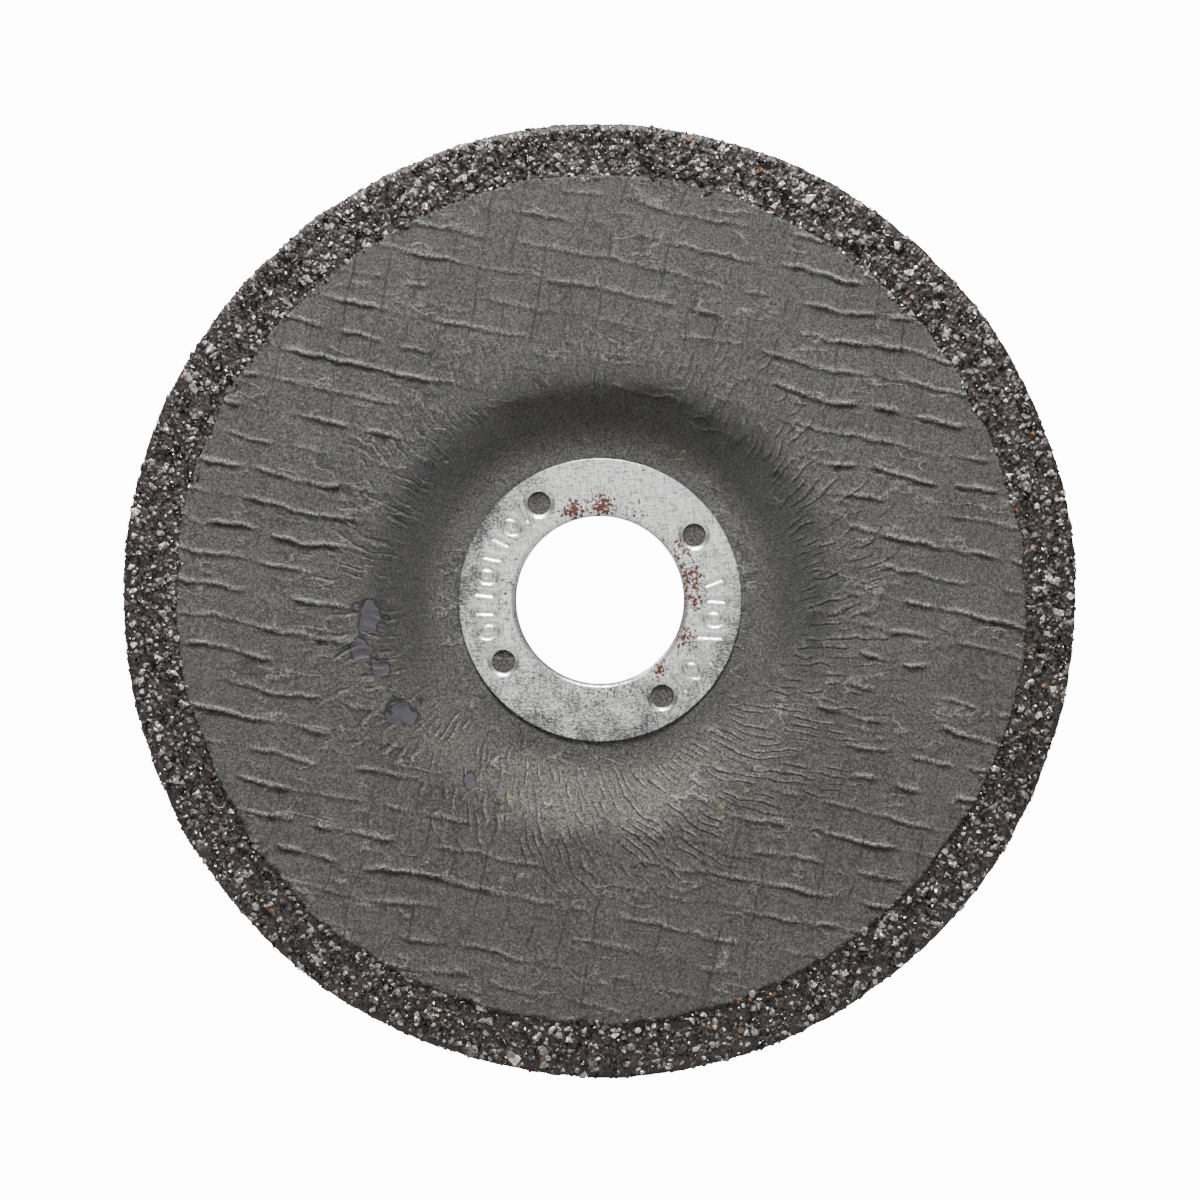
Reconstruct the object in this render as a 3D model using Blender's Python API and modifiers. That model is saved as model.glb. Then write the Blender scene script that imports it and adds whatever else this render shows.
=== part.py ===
"""Depressed-centre grinding disc for an angle grinder: a resin-bonded laminate on a steel hub ring.

The layers are turned lying down, with the working face up (+Z) and the back of the hub at z = 0.
The assembly empty then stands the disc up, so the spindle axis is +Y and the working face looks
towards -Y. All sizes are in metres.
"""

import math

import bmesh
import bpy
from mathutils import Matrix, Vector

# Overall form, measured on the working face
disc_diameter = 0.1250
hub_depth = 0.0046  # how far the hub is set back from the outer annulus
hub_flat_diameter = 0.0414
wall_angle = math.radians(28.0)
recess_corner_radius = 0.0010
shoulder_radius = 0.0095

# Laminate, one thickness for each kind of layer and the resin line between two of them
label_thickness = 0.00020
sheet_thickness = 0.00025
net_thickness = 0.00040
abrasive_thickness = 0.00135
bond_line = 0.00020

# How far each kind of layer stops short of the rim
worn_band = 0.0070  # bare grain round the working face
yarn_end_inset = 0.0004  # the front net's cut ends sit just inside the sheet
full_net_margin = 0.0012
back_sheet_margin = 0.0008
label_margin = 0.0130
worn_edge = 0.0008  # the rim's rounded-off corner on the working face

# Steel hub ring
bore_diameter = 0.02223
ring_thickness = 0.00040
flange_diameter = 0.0373
collar_end_inset = 0.0014  # how far the collar stops short of the back face
ring_corner_radius = 0.00070
ring_hole_diameter = 0.0031
ring_hole_circle = 0.0302
ring_hole_count = 4
ring_hole_angle = math.radians(33.0)
collar_clearance = 0.0003
label_hole_clearance = 0.0006

# Glass-fibre nets
net_pitch = 0.0140
yarn_width = 0.0024
net_angle = math.radians(-13.0)
net_edge_width = 0.0010  # resin-bound edge where the net was cut out

# Facets
round_steps = 40
corner_steps = 2
shoulder_steps = 2
hole_steps = 16
sharp_angle = math.radians(30.0)
cutter_overrun = 0.0020

disc_radius = disc_diameter / 2
hub_flat_radius = hub_flat_diameter / 2
collar_radius = bore_diameter / 2 + ring_thickness
layer_bore_radius = collar_radius + collar_clearance

# The laminate from the back of the disc to its working face: name, thickness, outer radius
laminate = (
    ("paper_label", label_thickness, disc_radius - label_margin),
    ("back_cover_sheet", sheet_thickness, disc_radius - back_sheet_margin),
    ("back_glass_net", net_thickness, disc_radius - full_net_margin),
    ("back_abrasive_layer", abrasive_thickness, disc_radius),
    ("middle_glass_net", net_thickness, disc_radius - full_net_margin),
    ("front_abrasive_layer", abrasive_thickness, disc_radius),
    ("front_glass_net", net_thickness, disc_radius - worn_band - yarn_end_inset),
    ("front_cover_sheet", sheet_thickness, disc_radius - worn_band),
)
laminate_thickness = sum(layer[1] for layer in laminate) + bond_line * (len(laminate) - 1)


def clear_scene():
    for old in list(bpy.data.objects):
        bpy.data.objects.remove(old, do_unlink=True)


def new_collection(name):
    collection = bpy.data.collections.new(name)
    bpy.context.scene.collection.children.link(collection)
    return collection


def plain_material(name, colour, roughness, metallic=0.0):
    material = bpy.data.materials.new(name)
    material.use_nodes = True
    shader = material.node_tree.nodes["Principled BSDF"]
    shader.inputs["Base Color"].default_value = (*colour, 1.0)
    shader.inputs["Roughness"].default_value = roughness
    shader.inputs["Metallic"].default_value = metallic
    return material


def section_line(offset, inner, outer):
    """Points (radius, height) of the disc's section at a distance from its back face, hub to rim.

    The hub's flat, a corner, the sloping wall, a shoulder and the outer annulus stay parallel from
    layer to layer, because every offset turns about the same two centres.
    """
    corner_height = laminate_thickness + recess_corner_radius
    shoulder_height = hub_depth + laminate_thickness - shoulder_radius
    rise = shoulder_height - corner_height
    bends = recess_corner_radius + shoulder_radius
    shoulder_centre = hub_flat_radius + (rise * math.cos(wall_angle) + bends) / math.sin(wall_angle)
    corner = corner_height - offset
    shoulder = shoulder_radius - laminate_thickness + offset
    points = [(inner, offset)]
    for step in range(corner_steps + 1):
        turn = wall_angle * step / corner_steps
        points.append(
            (hub_flat_radius + corner * math.sin(turn), corner_height - corner * math.cos(turn))
        )
    for step in range(shoulder_steps, -1, -1):
        turn = wall_angle * step / shoulder_steps
        points.append(
            (shoulder_centre - shoulder * math.sin(turn), shoulder_height + shoulder * math.cos(turn))
        )
    points.append((outer, hub_depth + offset))
    return points


def turned(name, outline, collection):
    """A ring turned about Z from a closed outline that runs down its outer side."""
    count = len(outline)
    mesh = bpy.data.meshes.new(name)
    edges = [(index, (index + 1) % count) for index in range(count)]
    mesh.from_pydata([(radius, 0.0, height) for radius, height in outline], edges, [])
    ring = bpy.data.objects.new(name, mesh)
    collection.objects.link(ring)
    screw = ring.modifiers.new("turn", "SCREW")
    screw.axis = "Z"
    screw.steps = round_steps
    screw.render_steps = round_steps
    screw.use_merge_vertices = True
    screw.merge_threshold = 0.00001
    return ring


def layer_outline(offset, thickness, inner, outer, worn=0.0):
    """One layer's closed section; worn takes the corner off its front outer edge."""
    outline = section_line(offset, inner, outer)[::-1]
    outline += section_line(offset + thickness, inner, outer - worn)
    if worn:
        outline.append((outer, hub_depth + offset + thickness - worn))
    return outline


def cut(piece, cutter, operation="DIFFERENCE"):
    boolean = piece.modifiers.new(cutter.name, "BOOLEAN")
    boolean.operation = operation
    boolean.solver = "EXACT"
    boolean.object = cutter


def as_cutter(helper):
    helper.hide_render = True
    helper.display_type = "WIRE"
    return helper


def window_cutter(net_name, outer, cutters):
    """The openings between a net's yarns, kept inside its bound inner and outer edges."""
    zone_inner = layer_bore_radius + net_edge_width
    zone_outer = outer - net_edge_width
    top = hub_depth + laminate_thickness + cutter_overrun
    mesh = bpy.data.meshes.new(net_name + "_windows")
    grid = bmesh.new()
    reach = math.ceil(outer / net_pitch)
    window = net_pitch - yarn_width
    size = Matrix.Diagonal((window, window, top + 2 * cutter_overrun, 1.0))
    turn = Matrix.Rotation(net_angle, 4, "Z")
    for column in range(-reach, reach):
        for row in range(-reach, reach):
            centre = Vector(((column + 0.5) * net_pitch, (row + 0.5) * net_pitch, top / 2))
            if centre.to_2d().length < zone_outer + window / 2:
                place = Matrix.Translation(centre)
                bmesh.ops.create_cube(grid, size=1.0, matrix=turn @ place @ size)
    grid.to_mesh(mesh)
    grid.free()
    windows = bpy.data.objects.new(mesh.name, mesh)
    cutters.objects.link(windows)
    low, high = -cutter_overrun / 2, top + cutter_overrun / 2
    outline = [(zone_outer, high), (zone_outer, low), (zone_inner, low), (zone_inner, high)]
    zone = as_cutter(turned(net_name + "_zone", outline, cutters))
    cut(windows, zone, "INTERSECT")
    return as_cutter(windows)


def make_laminate(parts, cutters, materials):
    """The eight bonded layers, from the label on the back to the cover sheet in front."""
    offset = 0.0
    layers = []
    for name, thickness, outer in laminate:
        inner = layer_bore_radius
        if name == "paper_label":
            inner += label_hole_clearance
        worn = worn_edge if name == "front_abrasive_layer" else 0.0
        layer = turned(name, layer_outline(offset, thickness, inner, outer, worn), parts)
        if name.endswith("_net"):
            cut(layer, window_cutter(name, outer, cutters))
        layer.data.materials.append(materials[name])
        layers.append(layer)
        offset += thickness + bond_line
    return layers


def ring_outline():
    """The hub ring's section: a flat flange bent round a corner into a thin collar."""
    under = laminate_thickness + bond_line
    top = under + ring_thickness
    bore = bore_diameter / 2
    flange = flange_diameter / 2
    low = collar_end_inset
    outline = [(flange, top), (flange, under), (collar_radius, under), (collar_radius, low), (bore, low)]
    for step in range(corner_steps + 1):
        turn = math.pi / 2 * step / corner_steps
        outline.append(
            (
                bore + ring_corner_radius * (1 - math.cos(turn)),
                top - ring_corner_radius * (1 - math.sin(turn)),
            )
        )
    return outline


def make_hub_ring(parts, cutters, material):
    ring = turned("hub_ring", ring_outline(), parts)
    height = laminate_thickness + bond_line + ring_thickness / 2
    for number in range(ring_hole_count):
        turn = ring_hole_angle + 2 * math.pi * number / ring_hole_count
        radius = ring_hole_circle / 2
        bpy.ops.mesh.primitive_cylinder_add(
            vertices=hole_steps,
            radius=ring_hole_diameter / 2,
            depth=ring_thickness + 2 * cutter_overrun,
            location=(radius * math.cos(turn), radius * math.sin(turn), height),
        )
        punch = bpy.context.object
        punch.name = f"ring_hole_{number + 1}"
        for home in list(punch.users_collection):
            home.objects.unlink(punch)
        cutters.objects.link(punch)
        cut(ring, as_cutter(punch))
    ring.data.materials.append(material)
    return ring


def shade_round(pieces):
    """Sets the modelling steps in each mesh and shades it smooth, with its real edges left sharp."""
    bpy.context.view_layer.update()
    graph = bpy.context.evaluated_depsgraph_get()
    shaped = [bpy.data.meshes.new_from_object(piece.evaluated_get(graph)) for piece in pieces]
    for piece, mesh in zip(pieces, shaped):
        piece.modifiers.clear()
        piece.data = mesh
        mesh.name = piece.name
        mesh.shade_smooth()
        mesh.set_sharp_from_angle(angle=sharp_angle)


def make_materials():
    sheet = plain_material("black_kraft_sheet", (0.105, 0.105, 0.095), 0.75)
    glass = plain_material("resin_coated_glass_yarn", (0.62, 0.52, 0.30), 0.50)
    grain = plain_material("resin_bonded_alumina", (0.075, 0.060, 0.056), 0.60)
    return {
        "paper_label": plain_material("printed_label_paper", (0.70, 0.69, 0.64), 0.55),
        "back_cover_sheet": sheet,
        "back_glass_net": glass,
        "back_abrasive_layer": grain,
        "middle_glass_net": glass,
        "front_abrasive_layer": grain,
        "front_glass_net": glass,
        "front_cover_sheet": sheet,
        "hub_ring": plain_material("tinned_steel", (0.62, 0.62, 0.61), 0.35, 1.0),
    }


def main():
    clear_scene()
    parts = new_collection("grinding_disc")
    cutters = new_collection("cutters")
    materials = make_materials()
    pieces = make_laminate(parts, cutters, materials)
    pieces.append(make_hub_ring(parts, cutters, materials["hub_ring"]))
    shade_round(pieces)
    assembly = bpy.data.objects.new("disc_assembly", None)
    parts.objects.link(assembly)
    for piece in [*pieces, *cutters.objects]:
        piece.parent = assembly
    assembly.rotation_euler = (math.pi / 2, 0.0, 0.0)  # working face to -Y


main()
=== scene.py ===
# Looks for a used depressed-centre grinding disc: moulded paper sheets, bare grain round the rim,
# a steel ring at the bore and a printed label on the back. The working face looks towards -Y.
import math

import bpy
import numpy as np
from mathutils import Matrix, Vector


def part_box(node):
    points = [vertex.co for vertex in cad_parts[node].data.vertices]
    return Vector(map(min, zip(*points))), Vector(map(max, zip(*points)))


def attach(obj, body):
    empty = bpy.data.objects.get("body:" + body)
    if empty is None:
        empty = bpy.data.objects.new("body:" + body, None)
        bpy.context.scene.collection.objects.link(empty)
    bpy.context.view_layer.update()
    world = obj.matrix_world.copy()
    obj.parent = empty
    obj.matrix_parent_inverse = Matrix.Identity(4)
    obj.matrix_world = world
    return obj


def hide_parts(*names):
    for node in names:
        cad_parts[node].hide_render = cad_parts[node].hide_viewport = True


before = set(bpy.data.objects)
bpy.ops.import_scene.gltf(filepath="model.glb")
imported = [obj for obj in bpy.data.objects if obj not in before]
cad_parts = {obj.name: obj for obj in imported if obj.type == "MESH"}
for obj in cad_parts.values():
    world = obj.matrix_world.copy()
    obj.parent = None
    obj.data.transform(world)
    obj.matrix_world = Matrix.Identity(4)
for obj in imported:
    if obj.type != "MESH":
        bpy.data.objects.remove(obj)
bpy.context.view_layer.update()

mm = 0.001

sheetLow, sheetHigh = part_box("front_cover_sheet")
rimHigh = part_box("front_abrasive_layer")[1]
ringLow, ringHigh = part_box("hub_ring")
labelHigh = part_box("paper_label")[1]
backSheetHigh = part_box("back_cover_sheet")[1]

disc = {
    "radius": rimHigh[0],
    "hubDepth": 4.6 * mm,
    "thickness": -sheetLow[1] - 4.6 * mm,
    "hubFlat": 20.7 * mm,
    "wallAngle": math.radians(28),
    "cornerRadius": 1.0 * mm,
    "shoulderRadius": 9.5 * mm,
    "netAngle": math.radians(-11.5),  # the yarns fall away to the right
    "netPitch": 4.0 * mm,
}


def deselectAll():
    if bpy.context.mode != "OBJECT":
        bpy.ops.object.mode_set(mode="OBJECT")
    bpy.ops.object.select_all(action="DESELECT")


def finishPiece(piece, name, material, replaced=()):
    piece.name = name
    piece.data.name = name
    piece.data.materials.clear()
    piece.data.materials.append(material)
    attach(piece, "root")
    if replaced:
        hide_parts(*replaced)
    deselectAll()


def faceHeight(radius, offset):
    # height of the moulded form over the hub's back, at a radius and at an offset from the back face
    cornerHeight = disc["thickness"] + disc["cornerRadius"]
    shoulderHeight = disc["hubDepth"] + disc["thickness"] - disc["shoulderRadius"]
    rise = shoulderHeight - cornerHeight
    bends = disc["cornerRadius"] + disc["shoulderRadius"]
    centre = disc["hubFlat"] + (rise * math.cos(disc["wallAngle"]) + bends) / math.sin(disc["wallAngle"])
    corner = cornerHeight - offset
    shoulder = disc["shoulderRadius"] - disc["thickness"] + offset
    sine, cosine = math.sin(disc["wallAngle"]), math.cos(disc["wallAngle"])
    wallStart = disc["hubFlat"] + corner * sine
    wallEnd = centre - shoulder * sine
    radius = np.asarray(radius, float)
    height = np.full_like(radius, offset)
    bend = (radius > disc["hubFlat"]) & (radius <= wallStart)
    inBend = np.clip(corner**2 - (radius - disc["hubFlat"]) ** 2, 0, None)
    height = np.where(bend, cornerHeight - np.sqrt(inBend), height)
    wall = (radius > wallStart) & (radius <= wallEnd)
    startHeight = cornerHeight - corner * cosine
    height = np.where(wall, startHeight + (radius - wallStart) * sine / cosine, height)
    over = (radius > wallEnd) & (radius <= centre)
    overBend = np.clip(shoulder**2 - (centre - radius) ** 2, 0, None)
    height = np.where(over, shoulderHeight + np.sqrt(overBend), height)
    return np.where(radius > centre, disc["hubDepth"] + offset, height)


noiseTable = np.random.default_rng(11).uniform(-1, 1, (512, 512))


def softNoise(u, v, turn=0, wrap=None):
    # smooth random heights from -1 to 1, one cell to a unit; wrap closes the pattern round a circle
    lowU, lowV = np.floor(u).astype(int), np.floor(v).astype(int)
    partU, partV = u - lowU, v - lowV
    partU = partU * partU * (3 - 2 * partU)
    partV = partV * partV * (3 - 2 * partV)
    nextU = lowU + 1
    if wrap:
        lowU, nextU = lowU % wrap, nextU % wrap
    shiftU, shiftV = 57 * turn, 131 * turn

    def at(a, b):
        return noiseTable[(a + shiftU) % 512, (b + shiftV) % 512]

    low = at(lowU, lowV) * (1 - partU) + at(nextU, lowV) * partU
    high = at(lowU, lowV + 1) * (1 - partU) + at(nextU, lowV + 1) * partU
    return low * (1 - partV) + high * partV


def layered(u, v, turn=0, layers=3, wrap=None):
    total, weight, size = 0, 1.0, 1
    for layer in range(layers):
        total = total + weight * softNoise(u * size, v * size, turn + layer, wrap and wrap * size)
        weight *= 0.5
        size *= 2
    return total


def ease(value, low, high):
    part = np.clip((value - low) / (high - low), 0, 1)
    return part * part * (3 - 2 * part)


def readPoints(piece):
    points = np.empty(len(piece.data.vertices) * 3)
    piece.data.vertices.foreach_get("co", points)
    return points.reshape(-1, 3)


def writePoints(piece, points):
    piece.data.vertices.foreach_set("co", points.astype(np.float32).ravel())
    piece.data.update()


def storeValue(piece, name, values):
    layer = piece.data.attributes.new(name, "FLOAT", "POINT")
    layer.data.foreach_set("value", np.asarray(values, np.float32))


def drawProfile(points):
    # a closed outline of (radius, height), extruded point by point in the plane z = 0
    deselectAll()
    radius, height = points[0]
    bpy.ops.mesh.primitive_plane_add(size=mm, location=(radius, -height, 0))
    bpy.ops.object.transform_apply(location=True, rotation=True, scale=True)
    bpy.ops.object.mode_set(mode="EDIT")
    bpy.ops.mesh.select_all(action="SELECT")
    bpy.ops.mesh.merge(type="CENTER")
    for last, point in zip(points, points[1:] + points[:1]):
        step = (point[0] - last[0], last[1] - point[1], 0)
        bpy.ops.mesh.extrude_vertices_move(TRANSFORM_OT_translate={"value": step})
    bpy.ops.mesh.select_all(action="SELECT")
    bpy.ops.mesh.remove_doubles(threshold=0.002 * mm)


def spinProfile(steps):
    # turned by a Screw modifier, which closes the seam
    bpy.ops.object.mode_set(mode="OBJECT")
    turned = bpy.context.object
    screw = turned.modifiers.new("turn", "SCREW")
    screw.axis = "Y"
    screw.steps = screw.render_steps = steps
    screw.use_merge_vertices = True
    screw.merge_threshold = 0.002 * mm
    bpy.ops.object.modifier_apply(modifier=screw.name)
    bpy.ops.object.mode_set(mode="EDIT")
    bpy.ops.mesh.select_all(action="SELECT")
    bpy.ops.mesh.normals_make_consistent(inside=False)
    bpy.ops.object.mode_set(mode="OBJECT")
    return turned


def span(start, end, count):
    return [start + (end - start) * step / count for step in range(count + 1)]


def linear(hexColour):
    # sRGB hex to the linear colour that a shader takes
    values = [int(hexColour[at : at + 2], 16) / 255 for at in (1, 3, 5)]
    return (*[v / 12.92 if v <= 0.04045 else ((v + 0.055) / 1.055) ** 2.4 for v in values], 1.0)


def addNode(tree, kind, settings=None, links=None):
    node = tree.nodes.new(kind)
    for key, value in (settings or {}).items():
        if isinstance(key, str) and hasattr(node, key):
            setattr(node, key, value)
        else:
            node.inputs[key].default_value = value
    for key, source in (links or {}).items():
        tree.links.new(source, node.inputs[key])
    return node


def startMaterial(name, **settings):
    material = bpy.data.materials.new(name)
    material.use_nodes = True
    shader = material.node_tree.nodes["Principled BSDF"]
    for key, value in settings.items():
        shader.inputs[key].default_value = value
    return material, material.node_tree, shader


def ramp(tree, source, stops):
    node = addNode(tree, "ShaderNodeValToRGB", links={"Fac": source})
    band = node.color_ramp
    while len(band.elements) < len(stops):
        band.elements.new(0.5)
    for element, (place, colour) in zip(band.elements, stops):
        element.position = place
        element.color = linear(colour) if isinstance(colour, str) else (colour, colour, colour, 1)
    return node


def calc(tree, operation, *terms):
    # one step of arithmetic on sockets and numbers
    node = addNode(tree, "ShaderNodeMath", {"operation": operation})
    for at, term in enumerate(terms):
        if isinstance(term, (int, float)):
            node.inputs[at].default_value = term
        else:
            tree.links.new(term, node.inputs[at])
    return node.outputs[0]


def stored(tree, name):
    return addNode(tree, "ShaderNodeAttribute", {"attribute_name": name}).outputs["Fac"]


def cellPlace(tree, name):
    # a stored count of pitches, as the place within one pitch: 0.5 is the line itself
    return calc(tree, "FRACT", calc(tree, "ADD", stored(tree, name), 0.5))


def objectPlace(tree):
    return addNode(tree, "ShaderNodeTexCoord").outputs["Object"]


def speckle(tree, place, size, detail=3, roughness=0.6, distortion=0.0):
    # soft noise, one cell to each size
    settings = {"Scale": 1 / size, "Detail": detail, "Roughness": roughness, "Distortion": distortion}
    return addNode(tree, "ShaderNodeTexNoise", settings, {"Vector": place}).outputs["Fac"]


def nearLine(tree, value, line, reach):
    # 1 where the value meets the line, falling smoothly to 0 at reach
    away = calc(tree, "ABSOLUTE", calc(tree, "SUBTRACT", value, line))
    settings = {"interpolation_type": "SMOOTHSTEP", "From Max": reach, "To Min": 1.0, "To Max": 0.0}
    return addNode(tree, "ShaderNodeMapRange", settings, {"Value": away}).outputs["Result"]


def blend(tree, amount, first, second):
    node = addNode(tree, "ShaderNodeMix", {"data_type": "RGBA"}, {0: amount, 6: first})
    node.inputs[7].default_value = linear(second)
    return node.outputs[2]


def dim(tree, colour, factor):
    links = {0: colour, "Scale": factor}
    return addNode(tree, "ShaderNodeVectorMath", {"operation": "SCALE"}, links).outputs[0]


def emboss(tree, shader, height, distance, strength=1.0):
    node = addNode(tree, "ShaderNodeBump", {"Strength": strength, "Distance": distance}, {"Height": height})
    tree.links.new(node.outputs["Normal"], shader.inputs["Normal"])


def makePaper():
    # Kraft paper, wetted with resin and hot-pressed over a glass net: felted, with the faint shine
    # of resin; painted highlights make its crests silvery and painted shade darkens its valleys and creases.
    # Its fibres are drawn about 0.2 mm thick, coarser than real, so that they show.
    material, tree, shader = startMaterial("hotPressedKraftPaper", IOR=1.5)
    place = objectPlace(tree)
    felt = speckle(tree, place, 0.30 * mm, 5, 0.85)
    lay = felt
    for turn in (12, 68, 131):
        settings = {"vector_type": "TEXTURE", "Rotation": (0, math.radians(turn), 0), "Scale": (2.4, 1, 1)}
        laid = addNode(tree, "ShaderNodeMapping", settings, {"Vector": place}).outputs["Vector"]
        lay = calc(tree, "MAXIMUM", lay, speckle(tree, laid, 0.17 * mm, 2, 0.65, 0.4))
    surface = calc(tree, "MULTIPLY", calc(tree, "ADD", felt, lay), 0.5)
    # the crests and valleys lie where the relief of the mesh has them, drawn finer than its faces
    pitch = disc["netPitch"]
    level, levelStrength = cellPlace(tree, "levelPlace"), stored(tree, "levelStrength")
    upright, uprightStrength = cellPlace(tree, "uprightPlace"), stored(tree, "uprightStrength")
    fold, foldStrength = cellPlace(tree, "foldPlace"), stored(tree, "foldStrength")
    crease, creaseStrength = stored(tree, "creaseNoise"), stored(tree, "creaseStrength")
    levelCrest = calc(tree, "MULTIPLY", nearLine(tree, level, 0.5, 0.52 * mm / pitch), levelStrength)
    underLevel = nearLine(tree, level, 0.5 - 0.46 * mm / pitch, 0.28 * mm / pitch)
    levelValley = calc(tree, "MULTIPLY", underLevel, levelStrength)
    uprightValley = calc(tree, "MULTIPLY", nearLine(tree, upright, 0.5, 0.27 * mm / pitch), uprightStrength)
    creaseCrest = calc(tree, "MULTIPLY", nearLine(tree, crease, 0.0, 0.24), creaseStrength)
    creaseValley = calc(tree, "MULTIPLY", nearLine(tree, crease, -0.42, 0.16), creaseStrength)
    foldCrest = calc(tree, "MULTIPLY", nearLine(tree, fold, 0.5, 0.30), foldStrength)
    foldValley = calc(tree, "MULTIPLY", nearLine(tree, fold, 0.19, 0.20), foldStrength)
    crests = calc(tree, "MAXIMUM", levelCrest, calc(tree, "MULTIPLY", foldCrest, 0.55))
    crests = calc(tree, "MAXIMUM", crests, calc(tree, "MULTIPLY", creaseCrest, 0.6))
    # painted shade: the colour is darkened along the valleys beside the crests, folds and creases, mostly on
    # the side away from the light from above
    paintedValleyShade = calc(tree, "MAXIMUM", levelValley, calc(tree, "MAXIMUM", foldValley, uprightValley))
    paintedValleyShade = calc(tree, "MAXIMUM", paintedValleyShade, calc(tree, "MULTIPLY", creaseValley, 0.85))
    tone = ramp(tree, surface, [(0.43, "#121210"), (0.65, "#53514B")]).outputs["Color"]
    # painted highlights: silvery flecks along the crests, and fainter ones all over, stand in for glints on
    # the resin
    flecked = ramp(tree, felt, [(0.45, 0.0), (0.58, 1.0)]).outputs["Color"]
    paintedGlintMask = calc(tree, "MULTIPLY", flecked, calc(tree, "MAXIMUM", crests, 0.16))
    toneWithPaintedGlints = blend(tree, paintedGlintMask, tone, "#BDBDB8")
    cloud = ramp(tree, speckle(tree, place, 9 * mm, 4), [(0.3, 0.86), (0.7, 1.12)]).outputs["Color"]
    # fine specks, darker and lighter; the lighter ones are painted glints
    specksAndGlints = ramp(tree, speckle(tree, place, 0.17 * mm, 2, 0.7), [(0.36, 0.66), (0.5, 1.0), (0.66, 1.55)])
    cloud = calc(tree, "MULTIPLY", cloud, specksAndGlints.outputs["Color"])
    # painted shade and highlight: the stored shade darkens the recess walls and lightens the wall's foot,
    # and the valleys darken too
    shading = calc(tree, "MULTIPLY", stored(tree, "shade"), calc(tree, "MULTIPLY_ADD", paintedValleyShade, -0.64, 1.0))
    shaded = dim(tree, toneWithPaintedGlints, calc(tree, "MULTIPLY", shading, cloud))
    chipped = ramp(tree, stored(tree, "chip"), [(0.45, 0.0), (0.55, 1.0)]).outputs["Color"]
    torn = nearLine(tree, stored(tree, "chip"), 0.36, 0.30)
    bared = blend(tree, chipped, shaded, "#3B383D")  # the smooth resin under a lost flake of paper
    edged = dim(tree, bared, calc(tree, "MULTIPLY_ADD", torn, -0.8, 1.0))
    crumbed = ramp(tree, stored(tree, "crumb"), [(0.35, 0.0), (0.6, 1.0)]).outputs["Color"]
    # crumbs of resin and yarn pressed into the paper
    final = blend(tree, calc(tree, "MULTIPLY", crumbed, flecked), edged, "#9A9B6E")
    tree.links.new(final, shader.inputs["Base Color"])
    shine = ramp(tree, surface, [(0.44, 0.60), (0.64, 0.36)]).outputs["Color"]
    shine = calc(tree, "MULTIPLY_ADD", crests, -0.14, shine)
    shine = calc(tree, "MAXIMUM", shine, calc(tree, "MULTIPLY", chipped, 0.68))
    tree.links.new(shine, shader.inputs["Roughness"])
    # heights in millimetres
    height = calc(tree, "MULTIPLY", surface, 0.72)
    height = calc(tree, "MULTIPLY_ADD", levelCrest, 0.36, height)
    height = calc(tree, "MULTIPLY_ADD", creaseCrest, 0.17, height)
    height = calc(tree, "MULTIPLY_ADD", foldCrest, 0.16, height)
    height = calc(tree, "MULTIPLY_ADD", uprightValley, -0.20, height)
    height = calc(tree, "MULTIPLY_ADD", foldValley, -0.20, height)
    whole = calc(tree, "MULTIPLY_ADD", chipped, -0.85, 1.0)
    emboss(tree, shader, calc(tree, "MULTIPLY", height, whole), mm)
    return material


def makeBond():
    # Phenolic resin with fine filler: reddish black, dull, pitted between the grains
    material, tree, shader = startMaterial("curedPhenolicBond", Roughness=0.6, IOR=1.6)
    place = objectPlace(tree)
    tone = ramp(tree, speckle(tree, place, 0.4 * mm, 5), [(0.35, "#100705"), (0.7, "#27150F")])
    tree.links.new(tone.outputs["Color"], shader.inputs["Base Color"])
    grit = addNode(tree, "ShaderNodeTexVoronoi", {"Scale": 1 / (0.5 * mm)}, {"Vector": place})
    emboss(tree, shader, grit.outputs["Distance"], 0.2 * mm, 0.8)
    return material


def makeGrain():
    # Brown fused alumina, crushed to about 1 mm (grit 24): broken glassy facets under a resin film
    material, tree, shader = startMaterial("crushedFusedAlumina", IOR=1.76)
    place = objectPlace(tree)
    # the near-white stop paints a glint on the lightest grains
    stops = [(0.0, "#0D0908"), (0.25, "#241C1A"), (0.58, "#5A5452")]
    stops += [(0.88, "#9D9896"), (0.985, "#D6D3D1"), (0.99, "#6E513C")]  # the last is a stray brown grain
    tone = ramp(tree, stored(tree, "tone"), stops).outputs["Color"]
    # the breaks inside one grain: each cell of about 0.3 mm leans its own way
    cells = addNode(tree, "ShaderNodeTexVoronoi", {"Scale": 1 / (0.32 * mm)}, {"Vector": place})
    breaks = cells.outputs["Color"]
    settings = {"operation": "SUBTRACT", 1: (0.5, 0.5, 0.5)}
    centred = addNode(tree, "ShaderNodeVectorMath", settings, {0: breaks}).outputs[0]
    settings = {"operation": "SCALE", "Scale": 1.6}
    lean = addNode(tree, "ShaderNodeVectorMath", settings, {0: centred}).outputs[0]
    smooth = addNode(tree, "ShaderNodeNewGeometry").outputs["Normal"]
    broken = addNode(tree, "ShaderNodeVectorMath", {"operation": "ADD"}, {0: smooth, 1: lean}).outputs[0]
    facet = addNode(tree, "ShaderNodeVectorMath", {"operation": "NORMALIZE"}, {0: broken}).outputs[0]
    tree.links.new(facet, shader.inputs["Normal"])
    cellTone = addNode(tree, "ShaderNodeSeparateXYZ", links={0: breaks}).outputs["X"]
    film = speckle(tree, place, 0.30 * mm, 4)
    stain = ramp(tree, film, [(0.35, 0.5), (0.6, 1.1)]).outputs["Color"]
    strength = calc(tree, "MULTIPLY", stain, calc(tree, "MULTIPLY_ADD", cellTone, 0.7, 0.65))
    tree.links.new(dim(tree, tone, strength), shader.inputs["Base Color"])
    shine = ramp(tree, film, [(0.35, 0.13), (0.65, 0.42)])
    tree.links.new(shine.outputs["Color"], shader.inputs["Roughness"])
    return material


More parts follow.
